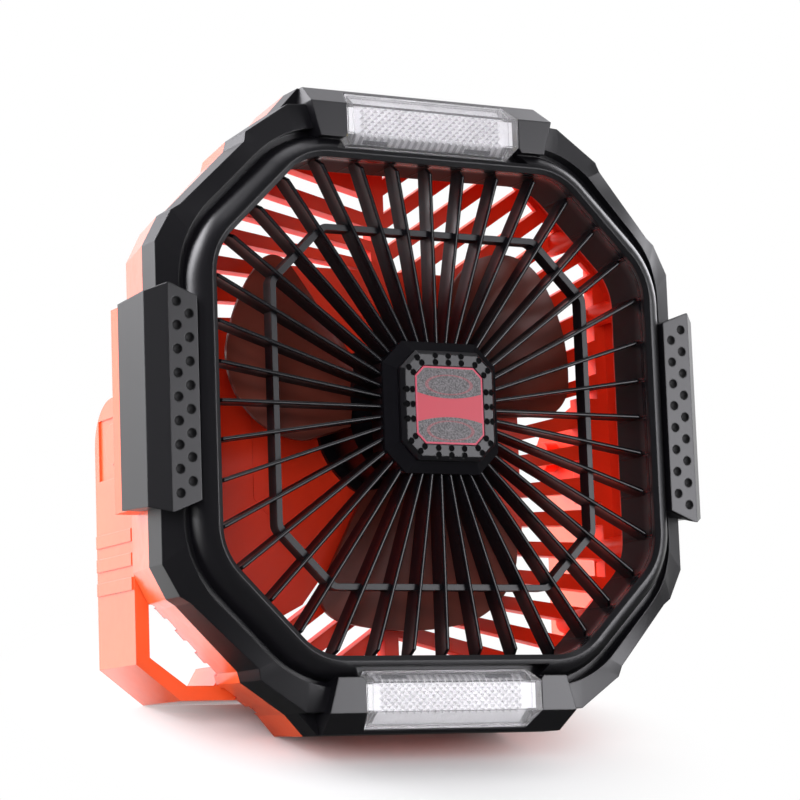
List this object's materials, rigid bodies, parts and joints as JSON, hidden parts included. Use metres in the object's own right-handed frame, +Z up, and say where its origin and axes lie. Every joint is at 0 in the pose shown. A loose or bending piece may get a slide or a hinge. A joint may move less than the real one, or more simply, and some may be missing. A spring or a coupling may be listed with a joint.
{
  "type": "portable camping fan",
  "caption": "Square-octagonal battery camping fan: caged rotor, light bars above and below, rubber side bumpers, vented rear shell and swinging U-shaped stand with a fold-out hook.",
  "frame": {"origin": "centre of the bounding box at floor level, with the fan leaning back on its folded stand", "axes": "+Z up, +Y towards the back of the fan (the air is blown towards -Y, tilted upwards), +X to the right seen from the front"},
  "size_m": [0.2352, 0.1346, 0.2386],
  "materials": {
    "cell_wrap": "shrink sleeve",
    "black_plastic": "satin moulded",
    "bumper_rubber": "matte",
    "screw_steel": "zinc plated",
    "lamp_blue": "light pipe",
    "steel": "plain",
    "board_green": "solder mask",
    "button_grey": "satin",
    "smoke_plastic": "translucent smoke",
    "hook_black": "satin",
    "badge_red": "printed",
    "board_white": "white solder mask",
    "led_yellow": "phosphor",
    "lens_clear": "clear ribbed",
    "bronze": "sintered",
    "orange_plastic": "satin moulded",
    "washer_nylon": "nylon",
    "white_plastic": "white reflector",
    "magnet": "ferrite",
    "black_gloss": "gloss",
    "copper": "enamelled wire"
  },
  "bodies": {
    "head": {"battery_cells": "cell_wrap", "battery_holder": "black_plastic", "bumper_left": "bumper_rubber", "bumper_right": "bumper_rubber", "case_screws": "screw_steel", "charge_lamps": "lamp_blue", "charge_port": "steel", "control_board": "board_green", "cover_screws": "screw_steel", "front_frame": "black_plastic", "front_grille": "black_plastic", "hub_insert": "badge_red", "hub_plate": "black_plastic", "led_board_bottom": "board_white", "led_board_top": "board_white", "led_chips_bottom": "led_yellow", "led_chips_top": "led_yellow", "lens_bottom": "lens_clear", "lens_top": "lens_clear", "motor_bearing": "bronze", "motor_mount": "black_plastic", "output_port": "steel", "pivot_screws": "screw_steel", "pivot_washers": "washer_nylon", "rear_cover": "black_plastic", "rear_shell": "orange_plastic", "reflector_bottom": "white_plastic", "reflector_top": "white_plastic", "stator_core": "steel", "stator_windings": "copper"},
    "rotor": {"fan_rotor": "smoke_plastic", "rotor_shaft": "steel", "rotor_spinner": "black_gloss", "rotor_magnets": "magnet"},
    "stand": {"stand": "orange_plastic", "pivot_caps": "orange_plastic", "hook_pin": "steel"},
    "hook": {"hook": "hook_black"},
    "fan_button": {"fan_button": "button_grey"},
    "light_button": {"light_button": "button_grey"}
  },
  "joints": [
    {"name": "rotor_spin", "type": "hinge", "parent": "head", "child": "rotor", "pos_m": [0, 0.00705, 0.11743], "axis": [0, 0.9321, -0.3623], "continuous": true},
    {"name": "stand_swing", "type": "hinge", "parent": "head", "child": "stand", "pos_m": [0, 0.03835, 0.09722], "axis": [1, 0, 0], "range_deg": [0, 180]},
    {"name": "hook_swing", "type": "hinge", "parent": "stand", "child": "hook", "pos_m": [-0.0225, 0.00454, 0.00886], "axis": [0, 0.9321, -0.3623], "range_deg": [0, 90]},
    {"name": "fan_button_press", "type": "slide", "parent": "head", "child": "fan_button", "axis": [0, -0.9321, 0.3623], "range_m": [0, 0.0012], "stiffness_N_per_m": 900},
    {"name": "light_button_press", "type": "slide", "parent": "head", "child": "light_button", "axis": [0, -0.9321, 0.3623], "range_m": [0, 0.0012], "stiffness_N_per_m": 900}
  ]
}
